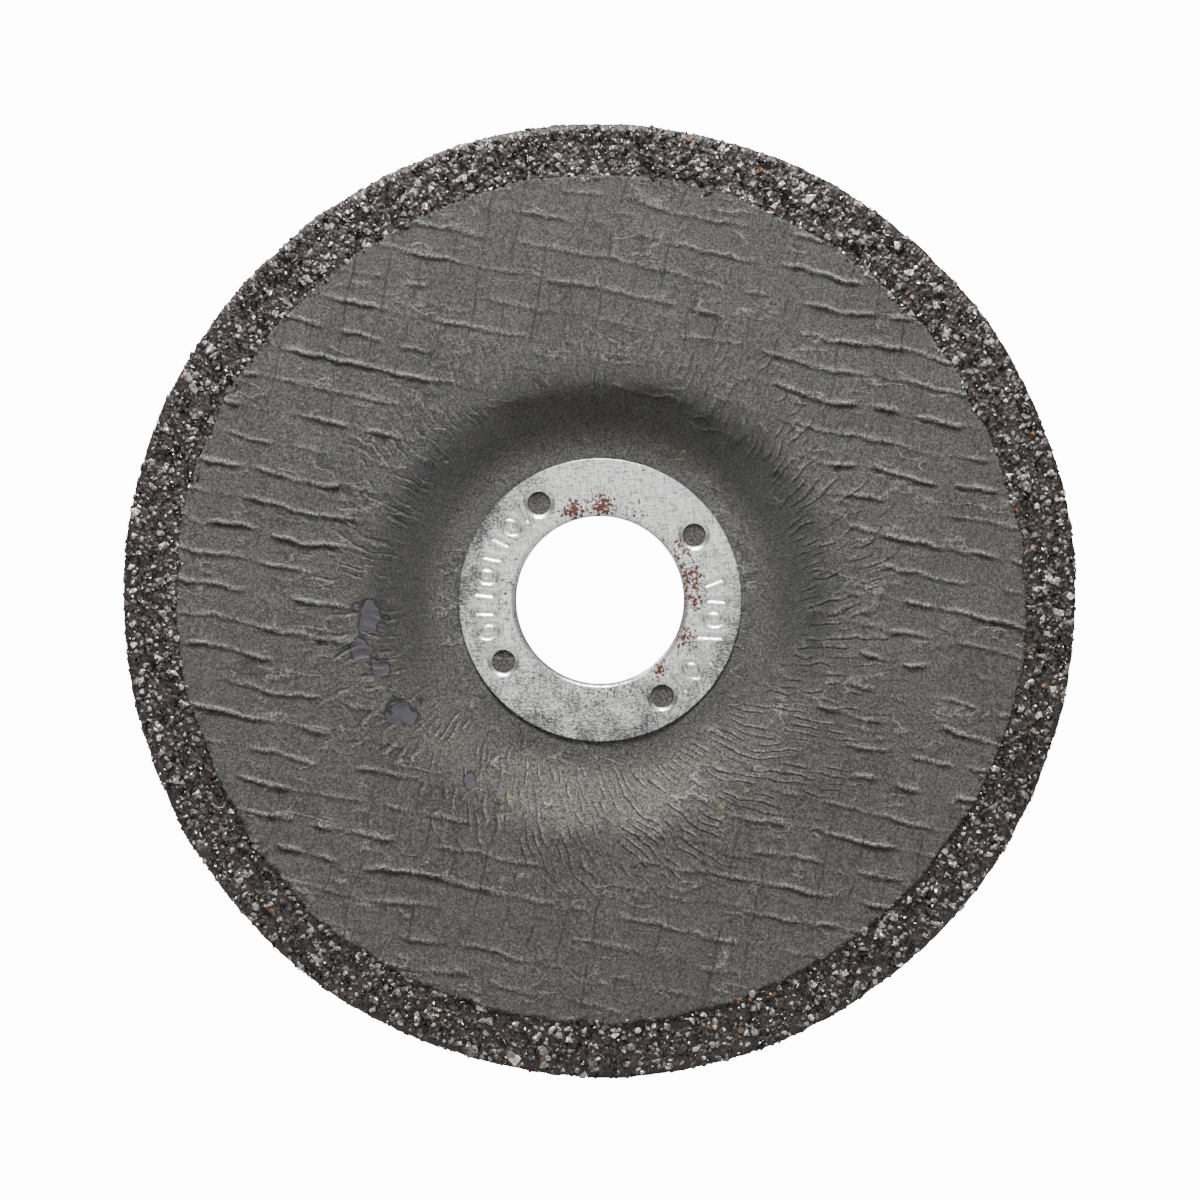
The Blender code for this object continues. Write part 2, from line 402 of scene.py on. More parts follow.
def makeSteel():
    # Tinned mild steel strip, rolled and then punched: pale, softly mottled, scuffed, rust-flecked; painted
    # shade, laid in with the scuffs, darkens it towards the bottom and at the sides
    material, tree, shader = startMaterial("rolledTinnedSteel")
    place = objectPlace(tree)
    skin = speckle(tree, place, 0.35 * mm, 6, 0.75)
    for stretch in ((1, 1, 9), (7, 1, 1)):
        settings = {"vector_type": "TEXTURE", "Rotation": (0, math.radians(-6), 0), "Scale": stretch}
        rolled = addNode(tree, "ShaderNodeMapping", settings, {"Vector": place}).outputs["Vector"]
        skin = calc(tree, "ADD", skin, speckle(tree, rolled, 0.16 * mm, 3, 0.7))
    skin = calc(tree, "MULTIPLY", skin, 1 / 3)
    tone = ramp(tree, skin, [(0.42, "#838786"), (0.48, "#DDE1DE"), (0.54, "#FCFDF9")]).outputs["Color"]
    settings = {"vector_type": "TEXTURE", "Rotation": (0, math.radians(8), 0), "Scale": (2.2, 1, 1)}
    dragged = addNode(tree, "ShaderNodeMapping", settings, {"Vector": place}).outputs["Vector"]
    scratches = speckle(tree, dragged, 0.19 * mm, 6, 0.85)
    # the stored scuff mask holds real scuffs and painted shade; both grey the steel
    scuffsAndShade = calc(tree, "ADD", stored(tree, "scuffAndPaintedShade"), scratches)
    scuffedAndShaded = ramp(tree, scuffsAndShade, [(0.635, 0.0), (0.78, 0.95)]).outputs["Color"]
    greyed = blend(tree, scuffedAndShaded, tone, "#4C4C4D")
    rust = calc(tree, "ADD", stored(tree, "rust"), speckle(tree, place, 0.42 * mm, 3, 0.7))
    rusted = ramp(tree, rust, [(0.90, 0.0), (0.925, 1.0)]).outputs["Color"]
    tree.links.new(blend(tree, rusted, greyed, "#4E241D"), shader.inputs["Base Color"])
    tree.links.new(calc(tree, "SUBTRACT", 1.0, rusted), shader.inputs["Metallic"])
    rough = ramp(tree, skin, [(0.42, 0.50), (0.58, 0.30)]).outputs["Color"]
    tree.links.new(calc(tree, "MULTIPLY_ADD", rusted, 0.35, rough), shader.inputs["Roughness"])
    emboss(tree, shader, skin, 0.02 * mm, 0.6)
    return material


def makeYarn():
    # Glass-fibre yarn dipped in amber resin
    material, tree, shader = startMaterial("resinDippedGlassYarn", Roughness=0.4, IOR=1.55)
    tone = ramp(tree, speckle(tree, objectPlace(tree), 0.3 * mm), [(0.3, "#8C7440"), (0.7, "#CDBB86")])
    tree.links.new(tone.outputs["Color"], shader.inputs["Base Color"])
    return material


def makeLabel():
    # Coated label paper, printed with two plain bands and an arrow for the direction of rotation
    material, tree, shader = startMaterial("printedLabelPaper", Roughness=0.5, IOR=1.5)
    place = objectPlace(tree)
    axes = addNode(tree, "ShaderNodeSeparateXYZ", links={0: place})
    across, up = axes.outputs["X"], axes.outputs["Z"]
    flat = addNode(tree, "ShaderNodeCombineXYZ", links={"X": across, "Y": up}).outputs[0]
    length = addNode(tree, "ShaderNodeVectorMath", {"operation": "LENGTH"}, {0: flat}).outputs["Value"]
    radius = calc(tree, "MULTIPLY", length, 1 / (50 * mm))
    paper, ink = "#C9C7BE", "#2C4A63"
    bands = ramp(tree, radius, [(0.0, paper), (0.602, ink), (0.617, paper), (0.802, ink)])
    bands.color_ramp.interpolation = "CONSTANT"
    angle = calc(tree, "ARCTAN2", up, across)
    offLine = calc(tree, "ABSOLUTE", calc(tree, "SUBTRACT", radius, 0.9))
    inShaft = calc(tree, "LESS_THAN", calc(tree, "ABSOLUTE", angle), 0.5)
    shaft = calc(tree, "MULTIPLY", inShaft, calc(tree, "LESS_THAN", offLine, 0.018))
    headWidth = calc(tree, "MULTIPLY", calc(tree, "SUBTRACT", 0.66, angle), 0.35)
    pastShaft = calc(tree, "GREATER_THAN", angle, 0.45)
    head = calc(tree, "MULTIPLY", pastShaft, calc(tree, "LESS_THAN", offLine, headWidth))
    printed = blend(tree, calc(tree, "MAXIMUM", shaft, head), bands.outputs["Color"], "#D8D6CD")
    soiling = ramp(tree, speckle(tree, place, 5 * mm, 8, 0.65), [(0.35, 0.72), (0.62, 1.0)]).outputs["Color"]
    wearAndPaintedHighlight = ramp(tree, stored(tree, "relief"), [(0.3, 1.0), (1.0, 0.82)]).outputs["Color"]
    used = dim(tree, printed, calc(tree, "MULTIPLY", soiling, wearAndPaintedHighlight))
    tree.links.new(used, shader.inputs["Base Color"])
    emboss(tree, shader, speckle(tree, place, 0.5 * mm, 4), 0.05 * mm, 0.4)
    return material


mats = {
    "paper": makePaper(),
    "bond": makeBond(),
    "grain": makeGrain(),
    "steel": makeSteel(),
    "yarn": makeYarn(),
    "label": makeLabel(),
}
print("materials made")


def yarnLines(across, along, turn):
    # where each point lies among the yarns of one set, counted in pitches, and how far its own yarn
    # shows there: the yarns wandered in the mould, and show in broken lengths
    pitch = disc["netPitch"]
    wander = 0.50 * mm * softNoise(along / (8 * mm), across / (7 * mm), turn)
    wander = wander + 0.22 * mm * softNoise(along / (1.9 * mm), across / (3 * mm), turn + 1)
    wander = wander + 0.12 * mm * softNoise(along / (0.8 * mm), across / (2 * mm), turn + 5)
    place = (across + wander) / pitch
    line = np.round(place)
    strength = 0.62 + 1.4 * softNoise(along / (2.8 * mm) + 13.7 * line, line * 5.3, turn + 2)
    return place, np.clip(strength, 0, 1) * np.where(line % 2 == 0, 1.0, 0.75)


def yarnRelief(place, strength):
    away = (place - np.round(place)) * disc["netPitch"]
    crest = np.exp(-((away / (0.36 * mm)) ** 2)) - 0.35 * np.exp(-(((away + 0.75 * mm) / (0.4 * mm)) ** 2))
    return strength * crest


def sheetRelief(x, z, settings):
    radius, angle = np.hypot(x, z), np.arctan2(z, x)
    around = angle / (2 * math.pi)
    cosine, sine = math.cos(disc["netAngle"]), math.sin(disc["netAngle"])
    along, across = x * cosine + z * sine, z * cosine - x * sine
    flatPart = ease(radius, 29 * mm, 37 * mm)
    sides = 0.6 + 0.4 * ease(np.abs(x), 10 * mm, 32 * mm)
    ends = 0.2 + 0.8 * ease(np.abs(z), 14 * mm, 34 * mm)
    levelPlace, levelStrength = yarnLines(across, along, 3)
    uprightPlace, uprightStrength = yarnLines(along, across, 9)
    levelStrength, uprightStrength = levelStrength * flatPart * sides, uprightStrength * flatPart * ends
    net = yarnRelief(levelPlace, levelStrength) + 0.6 * yarnRelief(uprightPlace, uprightStrength)
    # folds drawn outwards, with a slight swirl, where the sheet was pressed into the hub's recess
    count = 165
    spread = around * count + 0.6 * layered(around * 45, radius / (4 * mm), 21, 3, 45)
    swirl = ease(-np.sin(angle), 0.3, 0.9) + 0.5 * ease(np.cos(angle), 0.3, 0.9)
    swirl = swirl - 0.2 * ease(-np.cos(angle), 0.3, 0.9)
    foldPlace = spread - settings["swirl"] * swirl * (radius - 28 * mm)
    foldLine = np.round(foldPlace)
    fold = np.exp(-(((foldPlace - foldLine) / 0.27) ** 2)) - 0.35
    bottom = ease(-np.sin(angle), 0.1, 0.8)
    drawn = ease(radius + 4.5 * mm * bottom, 25.0 * mm, 28.5 * mm)
    drawn = drawn * (1 - 0.85 * ease(radius, 34 * mm, 44 * mm))
    drawn = drawn * np.clip(0.34 + 1.6 * softNoise(foldLine * 5.3, radius / (1.7 * mm), 31), 0, 1)
    drawn = drawn * ease(math.pi - np.abs(angle), 0.02, 0.06)
    drawn = drawn * (1 - 0.4 * ease(np.sin(angle), 0.5, 0.95))
    # short creases lying with the yarns
    creaseNoise = layered(along / (3.6 * mm), across / (1.5 * mm), 41, 3)
    crease = np.clip(1 - np.abs(creaseNoise) * 2.4, -0.3, 1)
    creaseStrength = np.clip(0.30 + 1.1 * softNoise(x / (2.6 * mm), z / (1.9 * mm), 45), 0, 1)
    swell = layered(x / (6 * mm), z / (6 * mm), 51, 3)
    felt = softNoise(x / (0.8 * mm), z / (0.8 * mm), 61)
    height = settings["net"] * net + settings["wrinkle"] * fold * drawn
    height = height + settings["crease"] * crease * creaseStrength
    height = height + settings["swell"] * swell + settings["felt"] * felt
    # the recess wall was stretched smooth, least at the bottom
    stretched = ease(radius, 20.5 * mm, 22.5 * mm) * (1 - ease(radius, 24 * mm, 28 * mm))
    stretched = ease(np.sin(angle), -0.75, -0.1) * stretched
    calm = 1 - 0.75 * stretched
    # the paper stands up round the ring that was pressed into it
    floor = 0.9 + 0.3 * softNoise(around * 30, radius / (2 * mm), 65, 30)
    floor = (1 - ease(radius, 20.3 * mm, 23.5 * mm)) * floor
    masks = {
        "relief": np.clip(0.5 + 0.5 * (net + 0.7 * fold * drawn + 0.5 * crease), 0, 1),
        "levelPlace": levelPlace,
        "levelStrength": levelStrength,
        "uprightPlace": uprightPlace,
        "uprightStrength": uprightStrength,
        "creaseNoise": creaseNoise,
        "creaseStrength": creaseStrength * calm,
        "foldPlace": foldPlace,
        "foldStrength": drawn * calm,
    }
    height = height * calm * (0.7 + 0.3 * ease(radius, 19 * mm, 24 * mm)) + settings["floor"] * floor
    pressed = 1 - ease(radius, 18.4 * mm, 18.9 * mm)
    return height * (1 - pressed) + np.clip(height, -0.1 * mm, 0.08 * mm) * pressed, masks


def mouldSheet(name, settings, material, replaced):
    # a square grid laid with the net, cut to a ragged ring and pressed into the disc's form
    outer, inner, cell = settings["outer"], settings["inner"], settings["cell"] * 1
    side = settings["side"]  # 1 for the working face, -1 for the back
    half = outer + 2 * cell
    count = int(2 * half / cell)
    deselectAll()
    bpy.ops.mesh.primitive_grid_add(x_subdivisions=count, y_subdivisions=count, size=2 * half)
    sheet = bpy.context.object
    bpy.ops.object.mode_set(mode="EDIT")
    bpy.ops.mesh.select_all(action="DESELECT")
    bpy.ops.object.mode_set(mode="OBJECT")
    points = readPoints(sheet)
    turn = disc["netAngle"]
    x = points[:, 0] * math.cos(turn) - points[:, 1] * math.sin(turn)
    z = points[:, 0] * math.sin(turn) + points[:, 1] * math.cos(turn)
    radius, angle = np.hypot(x, z), np.arctan2(z, x)
    around = angle / (2 * math.pi)
    edge = outer + settings["ragged"] * layered(around * 90, around * 0, 71, 3, 90)
    edge = edge + settings["drift"] * layered(around * 7, around * 0, 77, 2, 7)
    gone = (radius > edge + 0.5 * cell) | (radius < inner - 0.5 * cell)
    sheet.data.vertices.foreach_set("select", gone)
    bpy.ops.object.mode_set(mode="EDIT")
    bpy.ops.mesh.delete(type="VERT")
    bpy.ops.object.mode_set(mode="OBJECT")
    x, z, radius, angle, edge = (part[~gone] for part in (x, z, radius, angle, edge))
    snap = np.where(radius > edge - 0.5 * cell, edge / radius, 1.0)
    snap = np.where(radius < inner + 0.5 * cell, inner / radius, snap)
    x, z, radius = x * snap, z * snap, radius * snap
    height, masks = sheetRelief(x, z, settings)
    lip = 1 - ease(edge - radius, 0.1 * mm, 0.9 * mm)
    height = height * (1 - 0.6 * lip) + settings["lip"] * lip
    rise = faceHeight(radius, settings["offset"]) + side * height
    writePoints(sheet, np.stack([x, -rise, z], axis=1))
    for maskName, values in masks.items():
        storeValue(sheet, maskName, values)
    # painted shade darkens the recess wall at the top and more at the sides, where it faces away from the
    # light from above, with some real darkening of the stretched paper; a painted highlight lightens its
    # foot at the bottom, facing the light
    stretched = ease(radius, 21.0 * mm, 24.5 * mm) * (1 - ease(radius, 28.0 * mm, 32.5 * mm))
    sideways = 1 + 0.72 * ease(np.abs(np.cos(angle)), 0.0, 0.8)
    shade = 1 - settings["stretch"] * sideways * stretched * ease(np.sin(angle), -0.7, 0.05)
    low = ease(-np.sin(angle), 0.3, 0.9) + 2.2 * ease(-np.sin(angle), 0.72, 1.0)
    shade = shade + settings["wearAndPaintedHighlight"] * stretched * low
    storeValue(sheet, "shade", shade)
    chip = np.zeros_like(radius)
    for chipX, chipZ, size in settings["chips"]:
        away = np.hypot(x - chipX * mm, z - chipZ * mm) / (size * mm)
        away = away + 0.55 * layered(x / (1.3 * mm), z / (1.3 * mm), 81, 2)
        chip = np.maximum(chip, np.clip((1.15 - away) / 0.6, 0, 1))
    storeValue(sheet, "chip", chip)
    crumb = np.zeros_like(radius)
    for crumbX, crumbZ, size in settings["crumbs"]:
        away = np.hypot(x - crumbX * mm, z - crumbZ * mm) / (size * mm)
        away = away + 0.6 * layered(x / (0.8 * mm), z / (0.8 * mm), 85, 2)
        crumb = np.maximum(crumb, 1 - ease(away, 0.4, 1.2))
    storeValue(sheet, "crumb", crumb)
    # the edges are turned down and the underside is closed with a few coarse rings
    bpy.ops.object.mode_set(mode="EDIT")
    bpy.ops.mesh.select_all(action="SELECT")
    bpy.ops.mesh.normals_make_consistent(inside=False)
    bpy.ops.mesh.select_all(action="DESELECT")
    bpy.ops.mesh.select_non_manifold(
        extend=False, use_wire=False, use_multi_face=False, use_non_contiguous=False, use_verts=False
    )
    bpy.ops.mesh.extrude_region_move(TRANSFORM_OT_translate={"value": (0, side * settings["thick"], 0)})
    bpy.ops.mesh.bridge_edge_loops(number_cuts=9)
    bpy.ops.object.mode_set(mode="OBJECT")
    points = readPoints(sheet)
    fresh = np.zeros(len(points), bool)
    fresh[-(len(points) - len(radius)) :] = True
    under = np.hypot(points[:, 0], points[:, 2])
    depth = -faceHeight(under, settings["offset"]) + side * settings["thick"]
    middle = fresh & (under > inner + 0.1 * mm) & (under < outer - 1.5 * mm)
    points[middle, 1] = depth[middle] + side * 0.15 * mm
    writePoints(sheet, points)
    bpy.ops.object.mode_set(mode="EDIT")
    bpy.ops.mesh.select_all(action="SELECT")
    bpy.ops.mesh.normals_make_consistent(inside=False)
    bpy.ops.object.mode_set(mode="OBJECT")
    bpy.ops.object.shade_smooth()
    finishPiece(sheet, name, material, replaced)
    return sheet


frontSheetSettings = {
    "side": 1,
    "outer": sheetHigh[0] - 0.1 * mm,
    "inner": 12.6 * mm,
    "cell": 0.333 * mm,
    "offset": disc["thickness"],
    "thick": 0.3 * mm,
    "ragged": 0.28 * mm,
    "drift": 0.35 * mm,
    "lip": 0.02 * mm,
    # strength of the painted shade on the recess walls and of the painted highlight at the wall's foot
    "stretch": 0.32,
    "wearAndPaintedHighlight": 0.27,
    "net": 0.29 * mm,
    "wrinkle": 0.17 * mm,
    "swirl": 0.50 / mm,
    "crease": 0.10 * mm,
    "swell": 0.10 * mm,
    "felt": 0.03 * mm,
    "floor": 0.40 * mm,
    # x, z and size in millimetres
    "chips": [
        (-30.2, -1.6, 2.2), (-31.4, -6.6, 1.4), (-28.8, -9.1, 1.5),
        (-25.9, -14.3, 2.2), (-17.1, -23.7, 0.9), (-22.4, 17.5, 0.6),
    ],
    "crumbs": [
        (15.6, -26.7, 0.7), (14.6, -27.8, 0.5), (19.1, -24.8, 0.5), (-11.8, -26.2, 0.6),
        (7.3, 56.2, 0.6), (-20.1, 18.0, 0.35), (11.0, 19.5, 0.35),
    ],
}
# the back sheet and the label get a fainter painted wall shade and no painted highlight
backSheetSettings = dict(
    frontSheetSettings, side=-1, outer=backSheetHigh[0] - 0.1 * mm, inner=12.0 * mm, cell=0.5 * mm,
    offset=0.4 * mm, net=0.1 * mm, wrinkle=0.1 * mm, floor=0.0, stretch=0.15, wearAndPaintedHighlight=0.0,
    chips=[], crumbs=[],
)
labelSettings = dict(
    backSheetSettings, outer=labelHigh[0] - 0.2 * mm, inner=12.4 * mm, offset=0.12 * mm,
    thick=0.15 * mm, ragged=0.05 * mm, drift=0.1 * mm, net=0.07 * mm, wrinkle=0.05 * mm,
    crease=0.03 * mm, swell=0.03 * mm, felt=0.0,
)

paper = mats["paper"]
frontSheet = mouldSheet("front_paper_sheet", frontSheetSettings, paper, ["front_cover_sheet"])
print("front sheet", len(frontSheet.data.polygons))
backSheet = mouldSheet("back_paper_sheet", backSheetSettings, paper, ["back_cover_sheet"])
label = mouldSheet("printed_label", labelSettings, mats["label"], ["paper_label"])
print("back sheet and label", len(backSheet.data.polygons), len(label.data.polygons))


bondSettings = {
    "steps": 900,
    "bore": 11.9 * mm,
    "edgeRound": 0.9 * mm,
    "split": 3.0 * mm,
    "sinkUnderSheet": 0.55 * mm,
    "sinkAtRim": 0.3 * mm,  # under the bare grains
    "sheetEnd": 53.5 * mm,
    "bareStart": 54.2 * mm,
    "joinRound": 0.1 * mm,  # where the two halves meet
    "pitSize": 0.9 * mm,
}


def rimWander(angle):
    # how far the worn rim strays from a true circle
    around = angle / (2 * math.pi)
    slow = 0.25 * mm * layered(around * 9, around * 0, 91, 2, 9)
    return slow + 0.14 * mm * layered(around * 60, around * 0, 95, 2, 60)


def bondOutline(low, high, roundLow, roundHigh):
    sizes = bondSettings
    rim = disc["radius"] + 0.05 * mm
    base = disc["hubDepth"]
    outline = []
    isFront = high > sizes["split"]
    underSheet = high - sizes["sinkUnderSheet"] * isFront
    for radius in span(sizes["bore"], sizes["sheetEnd"], 26):
        outline.append((radius, float(faceHeight(radius, underSheet))))
    bend = sizes["edgeRound"] if roundHigh else sizes["joinRound"]
    top = base + high - sizes["sinkAtRim"] * isFront
    for radius in span(sizes["bareStart"], rim - bend, 26):
        outline.append((radius, top))
    for turn in span(0, math.pi / 2, 5)[1:]:
        outline.append((rim - bend + bend * math.sin(turn), top - bend + bend * math.cos(turn)))
    bottomBend = 0.3 * mm if roundLow else sizes["joinRound"]
    for height in span(top - bend, base + low + bottomBend, 8)[1:]:
        outline.append((rim, height))
    for turn in span(0, math.pi / 2, 4)[1:]:
        out, up = bottomBend * math.cos(turn), bottomBend * math.sin(turn)
        outline.append((rim - bottomBend + out, base + low + bottomBend - up))
    for radius in span(rim - bottomBend - 0.8 * mm, sizes["bore"], 28):
        outline.append((radius, float(faceHeight(radius, low))))
    return outline


def makeBondBody(name, low, high, replaced):
    sizes = bondSettings
    drawProfile(bondOutline(low, high, low < sizes["split"] - mm, high > sizes["split"] + mm))
    body = spinProfile(sizes["steps"])
    points = readPoints(body)
    radius, angle = np.hypot(points[:, 0], points[:, 2]), np.arctan2(points[:, 2], points[:, 0])
    out = ease(radius, 54.5 * mm, 56 * mm)
    grow = out * ease(radius, 56 * mm, 62 * mm) * rimWander(angle)
    cells = int(2 * math.pi * disc["radius"] / sizes["pitSize"])
    pits = softNoise(angle / (2 * math.pi) * cells, (radius - points[:, 1]) / sizes["pitSize"], 101, cells)
    scale = 1 + (grow + out * 0.12 * mm * pits) / radius
    front = (points[:, 1] < -disc["hubDepth"] - high + mm) & (high > sizes["split"])
    points[:, 1] -= np.where(front, out * 0.14 * mm * pits, 0)
    points[:, 0] *= scale
    points[:, 2] *= scale
    writePoints(body, points)
    finishPiece(body, name, mats["bond"], replaced)
    return body


frontBond = makeBondBody("front_resin_bond", 3.05 * mm, 6.0 * mm, ["front_abrasive_layer"])
backBond = makeBondBody("back_resin_bond", 0.75 * mm, 2.95 * mm, ["back_abrasive_layer"])
print("bond bodies", len(frontBond.data.polygons), len(backBond.data.polygons))


def crushGrains(count):
    # a few crushed grains, each a jittered ball drawn tight into flat facets
    grains = []
    for number in range(count):
        deselectAll()
        bpy.ops.mesh.primitive_ico_sphere_add(subdivisions=1, radius=1.0)
        grain = bpy.context.object
        bpy.ops.object.mode_set(mode="EDIT")
        bpy.ops.mesh.select_all(action="SELECT")
        bpy.ops.transform.vertex_random(offset=0.42, uniform=1.0, seed=number + 3)
        bpy.ops.mesh.convex_hull()
        bpy.ops.mesh.quads_convert_to_tris()
        bpy.ops.object.mode_set(mode="OBJECT")
        points = readPoints(grain)
        points -= points.mean(axis=0)
        points /= np.abs(points).max(axis=0)
        faces = np.array([list(face.vertices) for face in grain.data.polygons])
        grains.append((points, faces))
        bpy.data.objects.remove(grain, do_unlink=True)
    return grains


def rimSection():
    # the line that the bare grains sit along: out over the front, round the worn edge, down the rim
    rim = disc["radius"] - 0.08 * mm
    bend = 1.0 * mm
    top = disc["hubDepth"] + disc["thickness"] - 0.22 * mm
    low = disc["hubDepth"] + 0.55 * mm
    line = [(radius, top, 0.0, 1.0) for radius in span(55.2 * mm, rim - bend, 60)]
    for turn in span(0, math.pi / 2, 10)[1:]:
        out, up = math.sin(turn), math.cos(turn)
        line.append((rim - bend + bend * out, top - bend + bend * up, out, up))
    lowBend = 0.4 * mm
    for height in span(top - bend, low + lowBend, 40)[1:]:
        line.append((rim, height, 1.0, 0.0))
    for turn in span(0, math.pi / 2, 5)[1:]:
        out, down = math.cos(turn), math.sin(turn)
        line.append((rim - lowBend + lowBend * out, low + lowBend - lowBend * down, out, -down))
    return np.array(line)


grainSettings = {
    "spacing": 0.79 * mm,  # grit 24 is about 0.7 mm across, with some grains up to 1.5 mm
    "radius": 0.41 * mm,
    "spreadSize": 0.33,
    "sink": 0.14 * mm,
    "kinds": 12,
    "proud": 0.22 * mm,
    "rowPitch": 0.87,  # rows of a triangular packing, as a share of the spacing
    "jitter": 0.34,
    "torn": 0.07,  # the share that has been torn out
    "least": 0.22 * mm,
    "most": 0.85 * mm,
    "frontLength": 8.2 * mm,
    "gap": 0.4 * mm,
}


def scatterGrains(name, kinds, fromLength, toLength, seed):
    sizes = grainSettings
    rng = np.random.default_rng(seed)
    faceTop = disc["hubDepth"] + disc["thickness"]
    line = rimSection()
    steps = np.hypot(np.diff(line[:, 0]), np.diff(line[:, 1]))
    length = np.concatenate([[0], np.cumsum(steps)])
    spacing = sizes["spacing"] * 1
    rows = int((toLength - fromLength) / (spacing * sizes["rowPitch"]))
    jitter = sizes["jitter"]
    places = []
    for row in range(rows + 1):
        along = fromLength + row * spacing * sizes["rowPitch"]
        radius = np.interp(along, length, line[:, 0])
        number = int(2 * math.pi * radius / spacing)
        angles = (np.arange(number) + 0.5 * (row % 2)) * 2 * math.pi / number
        angles = angles + rng.uniform(-jitter, jitter, number) * spacing / radius
        places.append(np.stack([along + rng.uniform(-jitter, jitter, number) * spacing, angles], axis=1))
    places = np.concatenate(places)
    places = places[rng.random(len(places)) > sizes["torn"]]
    count = len(places)
    along, angle = places[:, 0], places[:, 1]
    section = np.stack([np.interp(along, length, line[:, column]) for column in range(4)], axis=1)
    size = sizes["radius"] * np.exp(rng.normal(0, sizes["spreadSize"], count)) * 1
    size = np.clip(size, sizes["least"], sizes["most"])
    sink = sizes["sink"] + 0.35 * (size - sizes["radius"]) + rng.uniform(-0.12, 0.12, count) * mm
    worn = rimWander(angle) * ease(section[:, 0], 56 * mm, 62 * mm)
    radius = section[:, 0] + worn - sink * section[:, 2]
    height = section[:, 1] - sink * section[:, 3]
    centre = np.stack([radius * np.cos(angle), -height, radius * np.sin(angle)], axis=1)
    spin = rng.normal(size=(count, 4))
    spin /= np.linalg.norm(spin, axis=1, keepdims=True)
    w, i, j, k = spin.T
    turns = np.empty((count, 3, 3))
    turns[:, 0] = np.stack([1 - 2 * (j * j + k * k), 2 * (i * j - k * w), 2 * (i * k + j * w)], axis=1)
    turns[:, 1] = np.stack([2 * (i * j + k * w), 1 - 2 * (i * i + k * k), 2 * (j * k - i * w)], axis=1)
    turns[:, 2] = np.stack([2 * (i * k - j * w), 2 * (j * k + i * w), 1 - 2 * (i * i + j * j)], axis=1)
    stretch = rng.uniform(0.65, 1.2, (count, 3))
    kind = rng.integers(0, len(kinds), count)
    tone = rng.random(count)
    allPoints, allFaces, allTones, base = [], [], [], 0
    for at, (points, faces) in enumerate(kinds):
        mine = np.flatnonzero(kind == at)
        placed = points[None] * stretch[mine][:, None] * size[mine][:, None, None]
        placed = np.einsum("nij,npj->npi", turns[mine], placed) + centre[mine][:, None]
        # the mould's wall left the grains flush at the rim and nearly flush on the face
        across = np.hypot(placed[..., 0], placed[..., 2])
        most = disc["radius"] + 0.26 * mm + rimWander(np.arctan2(placed[..., 2], placed[..., 0]))
        pressed = np.minimum(1, most / across)
        placed[..., 0] *= pressed
        placed[..., 2] *= pressed
        placed[..., 1] = np.maximum(placed[..., 1], -faceTop - sizes["proud"])
        allPoints.append(placed.reshape(-1, 3))
        shift = base + np.arange(len(mine))[:, None, None] * len(points)
        allFaces.append((faces[None] + shift).reshape(-1, 3))
        allTones.append(np.repeat(tone[mine], len(points)))
        base += len(mine) * len(points)
    deselectAll()
    bpy.ops.mesh.primitive_plane_add(size=mm)
    piece = bpy.context.object
    mesh = bpy.data.meshes.new(name)
    mesh.from_pydata(np.concatenate(allPoints).tolist(), [], np.concatenate(allFaces).tolist())
    piece.data = mesh
    storeValue(piece, "tone", np.concatenate(allTones))
    finishPiece(piece, name, mats["grain"])
    return piece


grainKinds = crushGrains(grainSettings["kinds"])
sectionLength = float(np.hypot(*np.diff(rimSection()[:, :2], axis=0).T).sum())
frontLength = grainSettings["frontLength"]
frontGrains = scatterGrains("front_grains", grainKinds, 0.0, frontLength, 5)
rimGrains = scatterGrains("rim_grains", grainKinds, frontLength + grainSettings["gap"], sectionLength, 6)
print("grains", len(frontGrains.data.polygons), len(rimGrains.data.polygons))


ringSettings = {
    "bore": 11.115 * mm,
    "outer": ringHigh[0],
    "front": -ringLow[1],
    "collarEnd": -ringHigh[1],
    "sheet": 0.4 * mm,
    "lip": 0.7 * mm,
    "holeCircle": 15.1 * mm,
    "holeRadius": 1.55 * mm,
    "holeAngles": [34.6, 122.2, 212.4, 303.0],
    "holeRoll": 0.32 * mm,
    "stampDepth": 0.16 * mm,
    # x, z and size in millimetres, and strength
    "rustSpots": [
        (-3.6, 11.9, 1.6, 0.20), (0.3, 12.4, 1.7, 0.24), (4.5, 11.6, 1.6, 0.08), (10.9, 6.8, 1.8, 0.13),
        (12.3, 3.2, 1.9, 0.16), (12.6, 0.2, 1.7, 0.15), (11.4, -5.2, 1.6, 0.19), (7.8, -9.2, 1.2, 0.20),
        (-13.0, 1.0, 3.0, 0.07), (0.5, -12.2, 3.0, 0.06), (-12.2, 8.7, 1.0, 0.1),
    ],
    "stamps": [(131, 204), (-46, 18)],  # two rows of stamped marks, in degrees
}


def ringOutline():
    sizes = ringSettings
    edge = 0.07 * mm
    outline = []
    for turn in span(0, math.pi / 2, 6):
        out, down = sizes["lip"] * (1 - math.cos(turn)), sizes["lip"] * (1 - math.sin(turn))
        outline.append((sizes["bore"] + out, sizes["front"] - down))
    for radius in span(sizes["bore"] + sizes["lip"], sizes["outer"] - edge, 44)[1:]:
        outline.append((radius, sizes["front"]))
    for turn in span(0, math.pi / 2, 3)[1:]:
        out, up = edge * math.sin(turn), edge * math.cos(turn)
        outline.append((sizes["outer"] - edge + out, sizes["front"] - edge + up))
    outline.append((sizes["outer"], sizes["front"] - sizes["sheet"]))
    outline.append((sizes["bore"] + sizes["lip"] + 0.2 * mm, sizes["front"] - sizes["sheet"]))
    outline.append((sizes["bore"] + sizes["sheet"], sizes["front"] - sizes["lip"]))
    outline.append((sizes["bore"] + sizes["sheet"], sizes["collarEnd"]))
    outline.append((sizes["bore"], sizes["collarEnd"]))
    return outline


